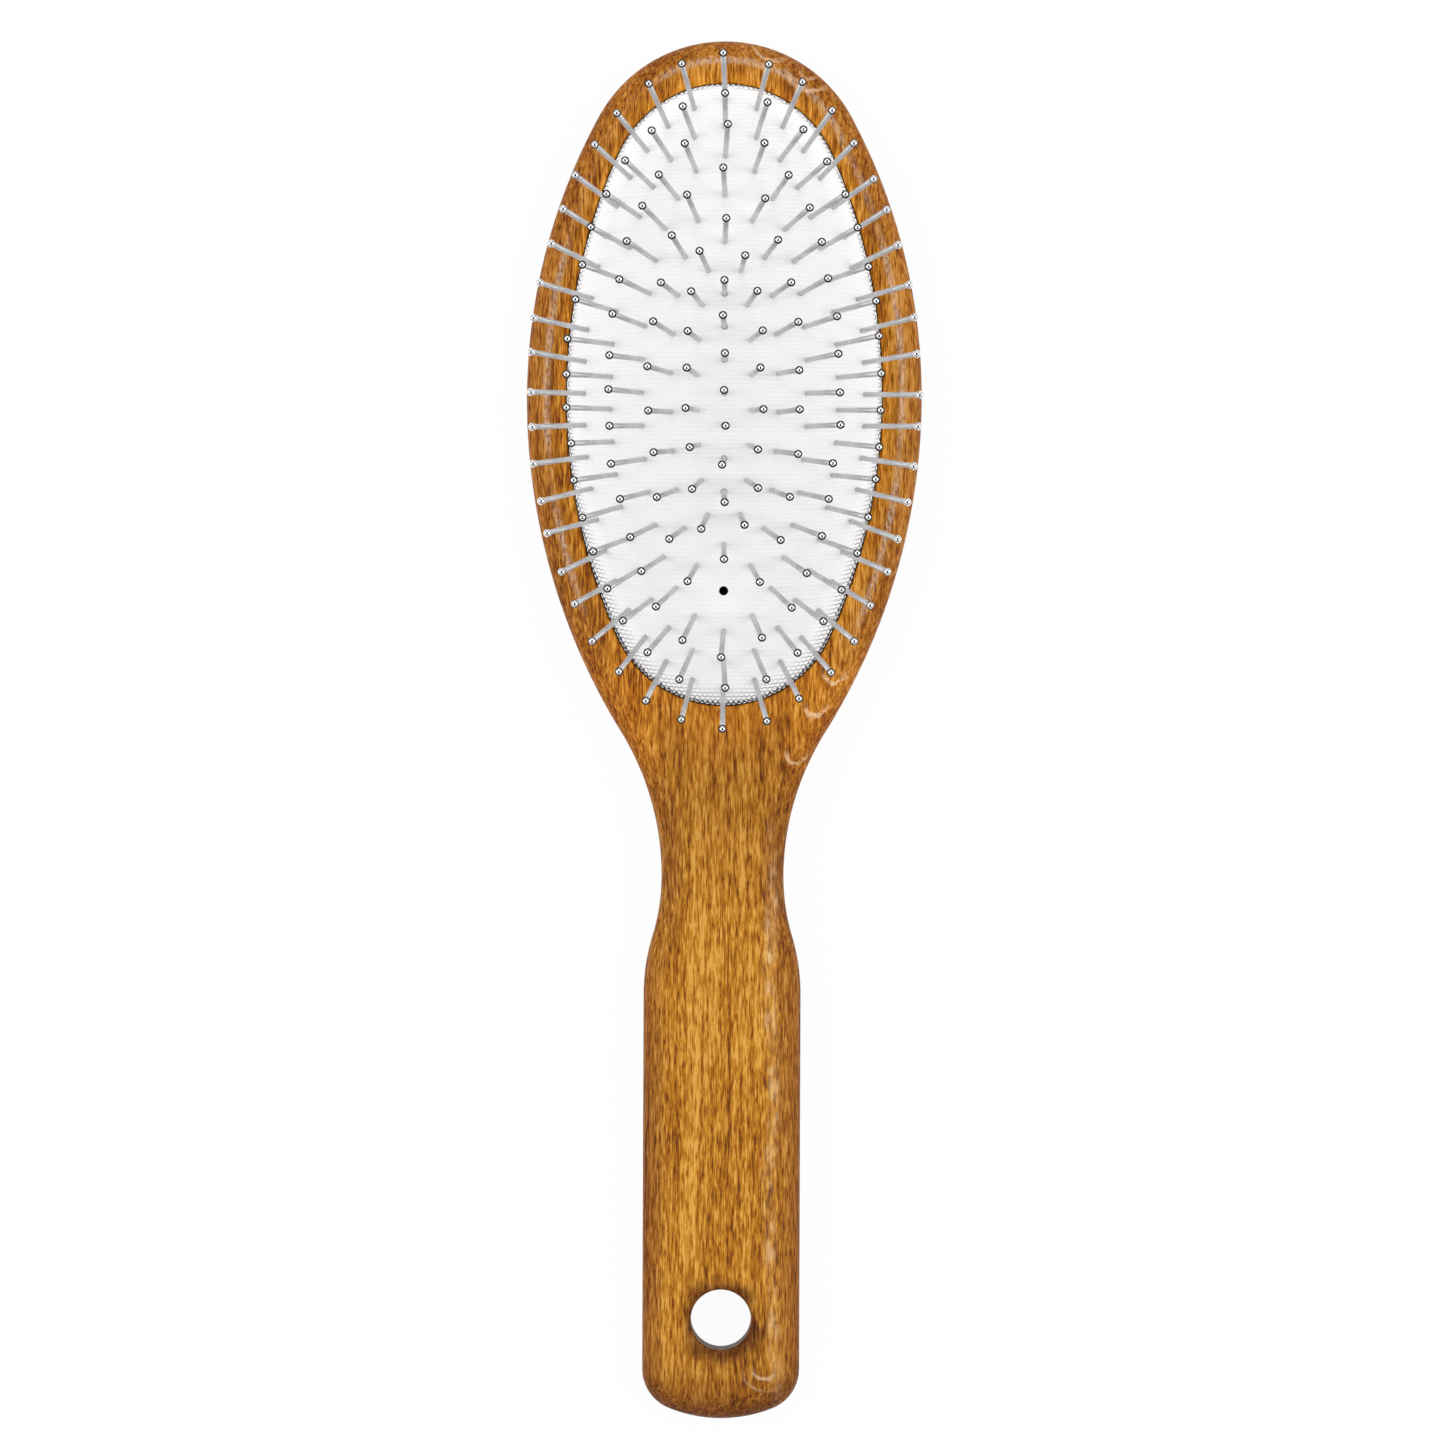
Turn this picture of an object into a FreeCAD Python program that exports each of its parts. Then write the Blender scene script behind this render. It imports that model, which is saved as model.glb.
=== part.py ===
"""Oval wooden pin brush: one-piece beech body, domed air cushion and steel pins with ball tips.

Millimetres. The brush lies on its back with its pins up. +Z is up and +Y runs from the handle to
the head. The origin is under the middle of the brush's length and width, on the surface it lies on.
"""

import FreeCAD
import Part

import math
import os

V = FreeCAD.Vector

# Wooden body, laid out in arcs: head, neck and handle
brush_length = 228.0
board_thickness = 12.5
head_half_width = 32.7
head_half_length = 59.1
head_end_radius = 23.8
head_flank_radius = 104.7
neck_half_width = 10.1
neck_from_head = 79.2
flare_length = 19.5
handle_half_width = 13.0
end_radius = 23.0
end_corner_radius = 7.0
face_round_radius = 4.5
back_round_radius = 4.0
round_flat_angle = math.radians(22.5)

# Hanging hole
hole_diameter = 10.0
hole_from_end = 16.5

# Pocket in the head, undercut at its floor to grip the cushion's edge bead
rim_side = 6.7
rim_end = 7.4
pocket_depth = 6.5
undercut_height = 2.0
rim_gap = 0.15
bead_gap = 0.15
oval_flatness = 0.15

# Cushion: an oval dome with an edge bead
cushion_half_length = 51.25
cushion_end_radius = 19.2
cushion_height = 10.3
cushion_wall = 1.3
bead_reach = 1.4
vent_diameter = 1.5
vent_sides = 8
dome_flats_across = 9
dome_flats_along = 7

# Pins: a wire through the cushion, a flat head under it and a ball above it. With so many of them
# each is four-sided, with its corners on radii that give the round wire's area
pin_length = 15.0
wire_radius = 0.44
ball_radius = 0.72
pin_head_radius = 1.0
pin_head_thickness = 0.5
pin_hole_gap = 0.05
pin_head_gap = 0.45
pin_sides = 4

# Pin pattern: a centre row, and ovals given as shares of the cushion's own half width and length
centre_pins = 7
centre_pitch = 5.42
oval_pins = [18, 22, 32, 38, 44]
oval_shares_across = [0.173, 0.340, 0.519, 0.710, 0.877]
oval_shares_along = [0.484, 0.634, 0.759, 0.853, 0.935]
vent_oval = 2
outer_splay = 1.45

# Places and sizes worked out from the values above
head_y = brush_length / 2 - head_half_length
neck_y = head_y - neck_from_head
handle_end_y = -brush_length / 2
hole_y = handle_end_y + hole_from_end
cushion_y = brush_length / 2 - rim_end - cushion_half_length
cushion_half_width = head_half_width - rim_side
pocket_floor_z = board_thickness - pocket_depth
bead_bottom_z = pocket_floor_z + bead_gap
bead_top_z = pocket_floor_z + undercut_height - bead_gap
dome_top_z = board_thickness + cushion_height
area_factor = math.sqrt(2 * math.pi / pin_sides / math.sin(2 * math.pi / pin_sides))
past = 1.0


def arc(start, middle, end):
    """A circular edge through three (x, y) points."""
    return Part.Arc(*[V(x, y, 0) for x, y in (start, middle, end)]).toShape()


def arc_about(centre, radius, first, last):
    """A circular edge about an (x, y) centre, between two angles in radians."""
    angles = (first, (first + last) / 2, last)
    return arc(*[(centre[0] + radius * math.cos(a), centre[1] + radius * math.sin(a)) for a in angles])


def mirrored(edges):
    """The same edges on the left of the brush."""
    return [edge.mirror(V(0, 0, 0), V(1, 0, 0)) for edge in edges]


def side_radius(half_width, half_length, end_radius):
    """Radius of the side arcs that meet an oval's end arcs at a tangent."""
    reach = half_width**2 + half_length**2 - 2 * half_length * end_radius
    return reach / (2 * (half_width - end_radius))


def oval_wire(half_width, half_length, end_radius, y, z):
    """A closed oval of four arcs in short chords, with its middle at (0, y, z)."""
    radius = side_radius(half_width, half_length, end_radius)
    side_x = half_width - radius
    end_y = half_length - end_radius
    join = math.atan2(end_y, -side_x)
    edges = [
        arc_about((side_x, 0), radius, -join, join),
        arc_about((0, end_y), end_radius, join, math.pi - join),
        arc_about((-side_x, 0), radius, math.pi - join, math.pi + join),
        arc_about((0, -end_y), end_radius, math.pi + join, 2 * math.pi - join),
    ]
    chords = [p for edge in edges for p in edge.discretize(Deflection=oval_flatness)[:-1]]
    wire = Part.makePolygon(chords + chords[:1])
    wire.translate(V(0, y, z))
    return wire


def cushion_oval(growth, bottom, top):
    """An upright block with the cushion's outline, grown outwards all round."""
    wire = oval_wire(
        cushion_half_width + growth,
        cushion_half_length + growth,
        cushion_end_radius + growth,
        cushion_y,
        bottom,
    )
    return Part.Face(wire).extrude(V(0, 0, top - bottom))


def body_outline():
    """The body's outline as a closed wire on z = 0."""
    # Head: an end arc, side arcs down to the widest place, and flatter flanks below it
    radius = side_radius(head_half_width, head_half_length, head_end_radius)
    side_x = head_half_width - radius
    end_y = head_half_length - head_end_radius
    join = math.atan2(end_y, -side_x)
    top = arc_about((0, head_y + end_y), head_end_radius, join, math.pi - join)
    side = [arc_about((side_x, head_y), radius, 0, join)]

    # Flank and neck arcs bend opposite ways and meet at a tangent
    flank_x = head_half_width - head_flank_radius
    across = neck_half_width - flank_x
    neck_radius = (across**2 + neck_from_head**2 - head_flank_radius**2) / (
        2 * (head_flank_radius - across)
    )
    neck_x = neck_half_width + neck_radius
    turn = math.atan2(neck_from_head, neck_x - flank_x)
    side.append(arc_about((flank_x, head_y), head_flank_radius, -turn, 0))
    side.append(arc_about((neck_x, neck_y), neck_radius, math.pi - turn, math.pi))

    # Flare: two equal arcs that widen the neck to the handle
    widening = handle_half_width - neck_half_width
    flare_radius = (flare_length**2 + widening**2) / (4 * widening)
    turn = 2 * math.atan2(widening, flare_length)
    flare_y = neck_y - flare_length
    side.append(arc_about((neck_half_width + flare_radius, neck_y), flare_radius, math.pi, math.pi + turn))
    side.append(arc_about((handle_half_width - flare_radius, flare_y), flare_radius, 0, turn))

    # Handle: straight sides, rounded corners and a shallow arc across the end
    corner_x = handle_half_width - end_corner_radius
    drop = math.sqrt((end_radius - end_corner_radius) ** 2 - corner_x**2)
    corner_y = handle_end_y + end_radius - drop
    turn = math.atan2(drop, corner_x)
    side.append(Part.makeLine(V(handle_half_width, flare_y, 0), V(handle_half_width, corner_y, 0)))
    side.append(arc_about((corner_x, corner_y), end_corner_radius, -turn, 0))
    bottom = arc_about((0, handle_end_y + end_radius), end_radius, turn - math.pi, -turn)
    return Part.Wire(Part.__sortEdges__([top, bottom] + side + mirrored(side)))


def edges_at(shape, z):
    """The edges of a shape that lie flat at height z."""
    return [e for e in shape.Edges if abs(e.BoundBox.ZMin - z) < 1e-3 and abs(e.BoundBox.ZMax - z) < 1e-3]


def round_over(board, radius, z, inwards):
    """Round the edge at height z with three narrow flats; inwards is the way to the board's middle.

    A bevel at half a right angle comes first, and then each of its two edges is bevelled again.
    """
    bevel = radius * (2 - math.sqrt(2))
    corner = radius * (math.tan(round_flat_angle) - math.tan(round_flat_angle / 2))
    board = board.makeChamfer(bevel, edges_at(board, z))
    return board.makeChamfer(corner, edges_at(board, z) + edges_at(board, z + inwards * bevel))


def make_wooden_body():
    """The body with its rounded edges, its undercut pocket for the cushion and its hanging hole."""
    board = Part.Face(body_outline()).extrude(V(0, 0, board_thickness))
    board = round_over(board, face_round_radius, board_thickness, -1)
    board = round_over(board, back_round_radius, 0, 1)
    pocket = cushion_oval(rim_gap, pocket_floor_z, board_thickness + past)
    undercut = cushion_oval(
        bead_reach + bead_gap, pocket_floor_z, pocket_floor_z + undercut_height
    )
    hole = Part.makeCylinder(hole_diameter / 2, board_thickness + 2 * past, V(0, hole_y, -past))
    return board.cut([pocket, undercut, hole])


def closed_solid(polygons):
    """A solid bounded by flat polygons, each a list of corners."""
    faces = [Part.Face(Part.makePolygon(corners + corners[:1])) for corners in polygons]
    solid = Part.Solid(Part.Shell(faces))
    if solid.Volume < 0:
        solid.reverse()
    return solid


def arch_radius(half_span):
    """Radius of the arch that rises cushion_height over this half span."""
    return (half_span**2 + cushion_height**2) / (2 * cushion_height)


def dome_block(inset):
    """A block under the dome's surface, or under a surface set in from it.

    The surface is an arch across the brush, swung along an arch of larger radius. Flats cover it.
    """
    across = arch_radius(cushion_half_width)
    along = arch_radius(cushion_half_length)
    axis_z = dome_top_z - along
    widest = math.asin((cushion_half_width + past) / across)
    longest = math.asin((cushion_half_length + past) / along)
    rows = []
    for j in range(dome_flats_along + 1):
        swing = longest * (2 * j / dome_flats_along - 1)
        row = []
        for i in range(dome_flats_across + 1):
            lean = widest * (2 * i / dome_flats_across - 1)
            reach = along - across + (across - inset) * math.cos(lean)
            x = (across - inset) * math.sin(lean)
            row.append(V(x, cushion_y + reach * math.sin(swing), axis_z + reach * math.cos(swing)))
        rows.append(row)
    flats = [
        [low[i], low[i + 1], high[i + 1], high[i]]
        for low, high in zip(rows, rows[1:])
        for i in range(dome_flats_across)
    ]
    # Each end of the surface drops to the block's floor in its own slanting plane
    floor_z = rows[0][0].z - past
    feet = []
    for row in (rows[0], rows[-1]):
        for corner in (row[0], row[-1]):
            share = past / (corner.z - axis_z)
            feet.append(V(corner.x, corner.y - share * (corner.y - cushion_y), floor_z))
    near_left, near_right, far_left, far_right = feet
    ends = [rows[0] + [near_right, near_left], rows[-1] + [far_right, far_left]]
    sides = [
        [row[0] for row in rows] + [far_left, near_left],
        [row[-1] for row in rows] + [far_right, near_right],
    ]
    floor = [near_left, near_right, far_right, far_left]
    return closed_solid(flats + ends + sides + [floor])


def dome_at(x, y):
    """The dome's true surface over (x, y) from the cushion's middle: the point and its normal."""
    across = arch_radius(cushion_half_width)
    along = arch_radius(cushion_half_length)
    reach = along - across + math.sqrt(across**2 - x**2)
    rise = math.sqrt(reach**2 - y**2)
    point = V(x, y, rise)
    core = V(0, y, rise) * ((along - across) / reach)
    return point + V(0, cushion_y, dome_top_z - along), (point - core).normalize()


def needle(foot, axis, stations, sides):
    """A straight solid with flat sides: a ring of corners at each (distance, corner radius).

    A radius of zero ends it in a point.
    """
    u = V(0, 1, 0).cross(axis).normalize()
    w = axis.cross(u)
    spokes = []
    for k in range(sides):
        angle = 2 * math.pi * (k + 0.5) / sides
        spokes.append(u * math.cos(angle) + w * math.sin(angle))
    rings = [[foot + axis * distance + s * radius for s in spokes] for distance, radius in stations]
    polygons = [rings[0]]
    for low, high in zip(rings, rings[1:]):
        for k in range(sides):
            polygons.append([low[k - 1], low[k], high[k], high[k - 1]])
    if stations[-1][1] > 0:
        polygons.append(rings[-1])
    else:
        polygons[-sides:] = [p[:3] for p in polygons[-sides:]]
    return closed_solid(polygons)


def pin_rows():
    """For each node, its pins as (surface point, axis) pairs: the centre row, then each oval."""
    rows = {"pins_centre_row": []}
    for k in range(centre_pins):
        rows["pins_centre_row"].append(dome_at(0, centre_pitch * (k - (centre_pins - 1) / 2)))
    layout = zip(oval_pins, oval_shares_across, oval_shares_along)
    for number, (count, across, along) in enumerate(layout, start=1):
        oval = Part.Ellipse(
            V(0, along * cushion_half_length, 0), V(across * cushion_half_width, 0, 0), V(0, 0, 0)
        )
        stations = oval.toShape().discretize(Number=count + 1)[:-1]
        if number == vent_oval:
            del stations[count // 2]
        row = [dome_at(p.x, p.y) for p in stations]
        if number == len(oval_pins):
            row = [(foot, V(n.x, n.y * outer_splay, n.z).normalize()) for foot, n in row]
        rows[f"pins_oval_{number}"] = row
    return rows


def make_pin(foot, axis):
    """One pin: its head under the cushion's wall, its wire up through the wall, and its ball."""
    wire = wire_radius * area_factor
    ball = ball_radius * area_factor
    head_top = -cushion_wall - pin_head_gap
    stations = [
        (head_top - pin_head_thickness, pin_head_radius * area_factor),
        (head_top, wire),
        (pin_length - ball_radius, wire),
        (pin_length, ball),
        (pin_length + ball_radius, 0),
    ]
    return needle(foot, axis, stations, pin_sides)


def make_cushion(rows):
    """The domed wall with its edge bead, vent and pin holes, open underneath to the air chamber."""
    dome = cushion_oval(0, bead_bottom_z, dome_top_z + past).common(dome_block(0))
    inside = cushion_oval(-cushion_wall, bead_bottom_z - past, dome_top_z).common(dome_block(cushion_wall))
    bead = cushion_oval(bead_reach, bead_bottom_z, bead_top_z)
    shell = dome.fuse(bead).cut(inside).removeSplitter()
    hole = wire_radius * area_factor + pin_hole_gap * area_factor
    through = [(-cushion_wall - past, hole), (past, hole)]
    cuts = [needle(foot, axis, through, pin_sides) for row in rows.values() for foot, axis in row]
    vent = vent_oval - 1
    foot, axis = dome_at(0, -oval_shares_along[vent] * cushion_half_length)
    through = [(-cushion_wall - past, vent_diameter / 2), (past, vent_diameter / 2)]
    cuts.append(needle(foot, axis, through, vent_sides))
    return shell.cut(Part.makeCompound(cuts))


os.makedirs("parts", exist_ok=True)
pins = pin_rows()
pieces = {"wooden_body": make_wooden_body(), "cushion": make_cushion(pins)}
for node, row in pins.items():
    pieces[node] = Part.makeCompound([make_pin(foot, axis) for foot, axis in row])
for node, shape in pieces.items():
    shape.exportStep(f"parts/{node}.step")
    print(node, len(shape.Solids), "solid", "valid" if shape.isValid() else "NOT VALID", round(shape.Volume, 1))
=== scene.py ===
"""Oval wooden pin brush on its back: the looks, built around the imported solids.

A stained beech body, a knit-faced air cushion in its pocket, and steel pins with ball tips.
Sizes are in millimetres, and become metres where a mesh is made.
"""

import logging
import math
from dataclasses import dataclass, field
from enum import Enum
from functools import reduce
from typing import Dict, List, Optional, Sequence, Tuple, Union

import bmesh
import bpy
import numpy as np
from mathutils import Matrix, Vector


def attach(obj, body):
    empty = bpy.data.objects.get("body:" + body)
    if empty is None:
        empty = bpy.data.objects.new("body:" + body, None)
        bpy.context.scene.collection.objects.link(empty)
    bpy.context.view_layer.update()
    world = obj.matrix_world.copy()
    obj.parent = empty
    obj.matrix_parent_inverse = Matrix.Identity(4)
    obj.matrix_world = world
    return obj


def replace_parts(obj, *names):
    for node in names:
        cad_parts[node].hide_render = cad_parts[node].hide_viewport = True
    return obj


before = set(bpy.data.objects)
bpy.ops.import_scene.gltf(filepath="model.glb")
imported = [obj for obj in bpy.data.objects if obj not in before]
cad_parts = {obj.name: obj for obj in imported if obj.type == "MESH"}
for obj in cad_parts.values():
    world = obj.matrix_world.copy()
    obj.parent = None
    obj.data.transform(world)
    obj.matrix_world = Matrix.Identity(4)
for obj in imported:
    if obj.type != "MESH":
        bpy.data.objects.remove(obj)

LOG = logging.getLogger("pin_brush")
MM = 0.001
TURN = 2 * math.pi
RIGHT_ANGLE = math.pi / 2
HEAD_END_Y = 114.0
CUSHION_Y = HEAD_END_Y - 7.4 - 51.25
# The widest step along an arc, as a share of its radius
ARC_STEP = 0.12
# The facing's points keep how far in they are from its edge, up to this depth
EDGE_BAND = 5.0
# A point this near to a height, in metres, counts as on it
LEVEL = 1e-7

Colour = Tuple[float, float, float, float]
Point = Tuple[float, float, float]
Rows = List[Tuple[float, ...]]
Array = np.ndarray
Material = bpy.types.Material
Object = bpy.types.Object
Socket = bpy.types.NodeSocket
Value = Union[float, int, bool, str, Tuple[float, ...], Socket, Material]


class Slot(Enum):
    """The record's material slots."""

    WOOD = "wood"
    CUSHION = "cushion"
    PINS = "pins"


class Graph:
    """Adds the nodes of one tree and links them."""

    def __init__(self, tree: bpy.types.NodeTree) -> None:
        """Keep the tree that the nodes go into."""
        self.tree = tree

    def feed(self, socket: Socket, value: Value) -> None:
        """Link a socket to another, or set its own value.

        Args:
            socket: The input to fill.
            value: An output socket, or a plain value.
        """
        if isinstance(value, bpy.types.NodeSocket):
            self.tree.links.new(value, socket)
        else:
            socket.default_value = value

    def add(self, kind: str, inputs: Optional[Dict] = None, **settings: Value) -> bpy.types.Node:
        """Add a node.

        Args:
            kind: Its type name.
            inputs: Values by socket name or number.
            **settings: Values for the node's own properties.

        Returns:
            The new node.
        """
        node = self.tree.nodes.new(kind)
        for name, value in settings.items():
            setattr(node, name, value)
        for key, value in (inputs or {}).items():
            self.feed(node.inputs[key], value)
        return node

    def out(self, kind: str, inputs: Optional[Dict] = None, **settings: Value) -> Socket:
        """Add a node and give its first output."""
        return self.add(kind, inputs, **settings).outputs[0]

    def math(self, operation: str, *numbers: Value, clamp: bool = False) -> Socket:
        """Combine up to three numbers, kept between 0 and 1 if clamped."""
        inputs = dict(enumerate(numbers))
        return self.out("ShaderNodeMath", inputs, operation=operation, use_clamp=clamp)

    def times(self, *numbers: Value) -> Socket:
        """Multiply numbers."""
        return reduce(lambda a, b: self.math("MULTIPLY", a, b), numbers)

    def plus(self, a: Value, b: Value) -> Socket:
        """Add two numbers."""
        return self.math("ADD", a, b)

    def minus(self, a: Value, b: Value) -> Socket:
        """Take the second number from the first."""
        return self.math("SUBTRACT", a, b)

    def larger(self, a: Value, b: Value) -> Socket:
        """Give the larger of two numbers."""
        return self.math("MAXIMUM", a, b)

    def remap(self, value: Value, *ends: float) -> Socket:
        """Map a range's two ends onto two others, 0 and 1 if not given, with soft ends."""
        inputs = dict(zip(("Value", "From Min", "From Max", "To Min", "To Max"), (value, *ends)))
        return self.out("ShaderNodeMapRange", inputs, interpolation_type="SMOOTHSTEP")

    def near(self, value: Value, middle: float, *ends: float) -> Socket:
        """Map a number's distance from a middle, as remap does."""
        return self.remap(self.math("ABSOLUTE", self.minus(value, middle)), *ends)

    def vector(self, operation: str, a: Value, b: Value) -> Socket:
        """Combine two vectors into one."""
        return self.out("ShaderNodeVectorMath", {0: a, 1: b}, operation=operation)

    def split(self, vector: Socket) -> Sequence[Socket]:
        """Give a vector's X, Y and Z."""
        return self.add("ShaderNodeSeparateXYZ", {0: vector}).outputs

    def blend(self, factor: Value, a: Value, b: Value, mode: str = "MIX") -> Socket:
        """Blend two colours, the factor being the second one's share."""
        inputs = {0: factor, 6: a, 7: b}
        return self.add("ShaderNodeMix", inputs, data_type="RGBA", blend_type=mode).outputs[2]

    def ramp(self, value: Value, stops: Sequence[Tuple[float, Colour]]) -> Socket:
        """Turn a number into a colour.

        Args:
            value: The number, from 0 to 1.
            stops: Positions and their colours.

        Returns:
            The colour's socket.
        """
        node = self.add("ShaderNodeValToRGB", {0: value})
        elements = node.color_ramp.elements
        while len(elements) < len(stops):
            elements.new(1.0)
        for element, (position, colour) in zip(elements, stops):
            element.position, element.color = position, colour
        return node.outputs[0]


class Paint(Graph):
    """The nodes of one material with a Principled shader."""

    def __init__(self, name: str) -> None:
        """Make the material.

        Args:
            name: The material's name.
        """
        self.material = bpy.data.materials.new(name)
        self.material.use_nodes = True
        super().__init__(self.material.node_tree)
        self.shader = self.tree.nodes["Principled BSDF"]
        self.place: Optional[Socket] = None

    def noise(self, stretch: Point, detail: float, rough: float, warp: float = 0.0) -> Socket:
        """Noise over the object.

        Args:
            stretch: Cells a millimetre along X, Y and Z.
            detail: Octaves.
            rough: Strength of the finer octaves.
            warp: Distortion.

        Returns:
            The noise's socket.
        """
        where = self.out("ShaderNodeMapping", {"Vector": self.where(), "Scale": stretch})
        names = ("Vector", "Scale", "Detail", "Roughness", "Distortion")
        return self.out("ShaderNodeTexNoise", dict(zip(names, (where, 1.0, detail, rough, warp))))

    def where(self) -> Socket:
        """Give object coordinates in millimetres, from nodes that are made once.

        Returns:
            The coordinates' socket.
        """
        if self.place is None:
            place = self.add("ShaderNodeTexCoord").outputs["Object"]
            self.place = self.vector("MULTIPLY", place, (1 / MM, 1 / MM, 1 / MM))
        return self.place

    def kept(self, name: str) -> Socket:
        """Read a number that the mesh keeps at its points."""
        return self.add("ShaderNodeAttribute", attribute_name=name).outputs["Fac"]

    def bump(self, height: Socket, strength: float, depth: float) -> Socket:
        """Turn a height from 0 to 1 into relief of a depth in millimetres."""
        inputs = {"Strength": strength, "Distance": depth * MM, "Height": height}
        return self.out("ShaderNodeBump", inputs)

    def finish(self, inputs: Dict[str, Value]) -> Material:
        """Fill the shader's inputs.

        Args:
            inputs: Values by the inputs' names.

        Returns:
            The material.
        """
        for name, value in inputs.items():
            self.feed(self.shader.inputs[name], value)
        return self.material


@dataclass(frozen=True)
class StainedBeech:
    """Oiled, orange-brown beech, scorched round the hole; painted shade darkens its rounded edges,
    the handle's end and the neck below the cushion, and painted highlights run along the head's
    rounded edge and down the neck.
    """

    hole_y: float
    hole_radius: float
    darkest: Colour = (0.130, 0.032, 0.001, 1.0)
    dark: Colour = (0.280, 0.090, 0.002, 1.0)
    middle: Colour = (0.400, 0.153, 0.006, 1.0)
    light: Colour = (0.515, 0.225, 0.020, 1.0)
    lightest: Colour = (0.650, 0.330, 0.058, 1.0)
    edge_shade_tint: Colour = (0.560, 0.430, 0.340, 1.0)
    end_and_pad_shade_tint: Colour = (0.620, 0.540, 0.520, 1.0)
    head_tint: Colour = (1.000, 0.920, 0.950, 1.0)
    rim_tint: Colour = (1.220, 1.200, 1.100, 1.0)
    scorch_tint: Colour = (0.340, 0.250, 0.230, 1.0)
    pale_ray_and_sheen: Colour = (0.740, 0.480, 0.230, 1.0)
    curl_colour: Colour = (0.820, 0.600, 0.360, 1.0)
    highlight_colour: Colour = (0.640, 0.500, 0.380, 1.0)
    curls_at: Tuple[Point, ...] = (
        (18.4, 9.6, 3.0), (15.2, 4.2, 3.2), (12.2, -3.6, 2.6),
        (8.0, 114.5, 6.0), (14.0, 109.5, 5.0), (7.2, -105.5, 4.2),
    )
    curl_pitch: float = 2.1
    ray_and_sheen_x: float = 11.2
    ray_and_sheen_wander: float = 5.0
    neck_y: float = -30.0
    shoulder_y: float = -3.0
    pad_shadow_y: float = -9.0
    highlight_inset: float = 3.3
    roughness: float = 0.44

    def tone(self, paint: Paint) -> Socket:
        """Lightness of the grain: bands, streaks, fibres, pores and flecks, all lengthwise.

        Args:
            paint: The material's nodes.

        Returns:
            A number from 0, dark, to 1, light.
        """
        bands = paint.noise((0.16, 0.010, 0.16), 3.0, 0.5, 0.4)
        streaks = paint.noise((1.1, 0.035, 1.1), 4.0, 0.6, 0.3)
        fibres = paint.noise((4.6, 0.27, 4.6), 3.0, 0.6)
        pores = paint.noise((2.3, 0.42, 2.3), 2.0, 0.6)
        flecks = paint.remap(paint.noise((4.6, 0.42, 4.6), 2.0, 0.5), 0.56, 0.68)
        total: Value = -2.60
        for layer, weight in ((bands, 1.10), (streaks, 1.40), (fibres, 2.10), (pores, 1.80)):
            total = paint.math("MULTIPLY_ADD", layer, weight, total)
        return paint.math("MULTIPLY_ADD", flecks, -0.42, total, clamp=True)

    def rays_and_sheen(self, paint: Paint) -> Socket:
        """Mask of the pale band of flecks down the right of the neck and handle: ray flecks of the
        wood, with a painted sheen where the rounding begins.

        Args:
            paint: The material's nodes.

        Returns:
            A number from 0 to 1.
        """
        x, y, _ = paint.split(paint.where())
        wander = paint.times(paint.noise((0.02, 0.045, 0.02), 1.0, 0.5), self.ray_and_sheen_wander)
        across = paint.near(paint.plus(x, wander), self.ray_and_sheen_x, 0.2, 1.7, 1.0, 0.0)
        broken = paint.remap(paint.noise((0.9, 0.33, 0.9), 3.0, 0.6), 0.44, 0.68, 0.12, 1.0)
        at_neck = paint.near(y, self.neck_y, 12.0, 4.0, 0.55, 1.0)
        return paint.times(across, paint.remap(y, -12.0, -24.0), broken, at_neck)

    def curls(self, paint: Paint) -> Socket:
        """Mask of the pale crescents of curled grain, on the top face near its edge.

        Args:
            paint: The material's nodes.

        Returns:
            A number from 0 to 1.
        """
        level = paint.vector("MULTIPLY", paint.where(), (1.0, 1.0, 0.0))
        _, y, z = paint.split(paint.where())
        bent = paint.times(paint.noise((0.45, 0.45, 0.45), 2.0, 0.5), 1.6)
        broken = paint.remap(paint.noise((1.1, 1.1, 1.1), 2.0, 0.6), 0.38, 0.55, 0.30, 1.0)
        total: Value = 0.0
        for x, centre_y, size in self.curls_at:
            inputs = {0: level, 1: (x, centre_y, 0.0)}
            away = paint.add("ShaderNodeVectorMath", inputs, operation="DISTANCE").outputs["Value"]
            turn = paint.times(paint.plus(away, bent), TURN / self.curl_pitch)
            wave = paint.remap(paint.math("SINE", turn), 0.15, 0.90)
            below = paint.remap(paint.minus(y, centre_y), 0.2 * size, -0.5 * size)
            crescent = paint.times(wave, below, paint.remap(away, size, 0.75 * size))
            total = paint.larger(total, crescent)
        return paint.times(total, broken, paint.remap(z, 9.0, 11.5))

    def scorch(self, paint: Paint) -> Socket:
        """Mask of the dark ring that the drill burned round the hanging hole.

        Args:
            paint: The material's nodes.

        Returns:
            A number from 0 to 1.
        """
        x, y, _ = paint.split(paint.where())
        low = paint.minus(y, self.hole_y)
        square = paint.plus(paint.math("POWER", x, 2.0), paint.math("POWER", low, 2.0))
        away = paint.minus(paint.math("SQRT", square), self.hole_radius)
        cloud = paint.times(paint.minus(paint.noise((0.22, 0.22, 0.22), 2.0, 0.6), 0.5), 5.0)
        # Strongest at the upper left and the lower right
        lean = paint.times(paint.math("ABSOLUTE", paint.minus(paint.times(x, 0.35), low)), 0.14)
        return paint.remap(paint.minus(paint.minus(away, cloud), lean), 2.4, -0.8)

    def rim_highlight(self, paint: Paint, inset: Socket) -> Socket:
        """Mask of the painted highlight: a pale line, in patches, along the middle of the head's
        rounded edge.

        Args:
            paint: The material's nodes.
            inset: How far a point is in from the outline.

        Returns:
            A number from 0 to 1.
        """
        _, y, _ = paint.split(paint.where())
        broken = paint.remap(paint.noise((2.2, 1.1, 2.2), 3.0, 0.7), 0.42, 0.58, 0.15, 1.0)
        patches = paint.noise((0.045, 0.045, 0.045), 1.0, 0.5)
        patches = paint.remap(patches, 0.42, 0.56, 0.10, 1.0)
        line = paint.near(inset, self.highlight_inset, 0.9, 0.1)
        return paint.times(line, paint.remap(y, 8.0, 26.0), patches, broken)

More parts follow.
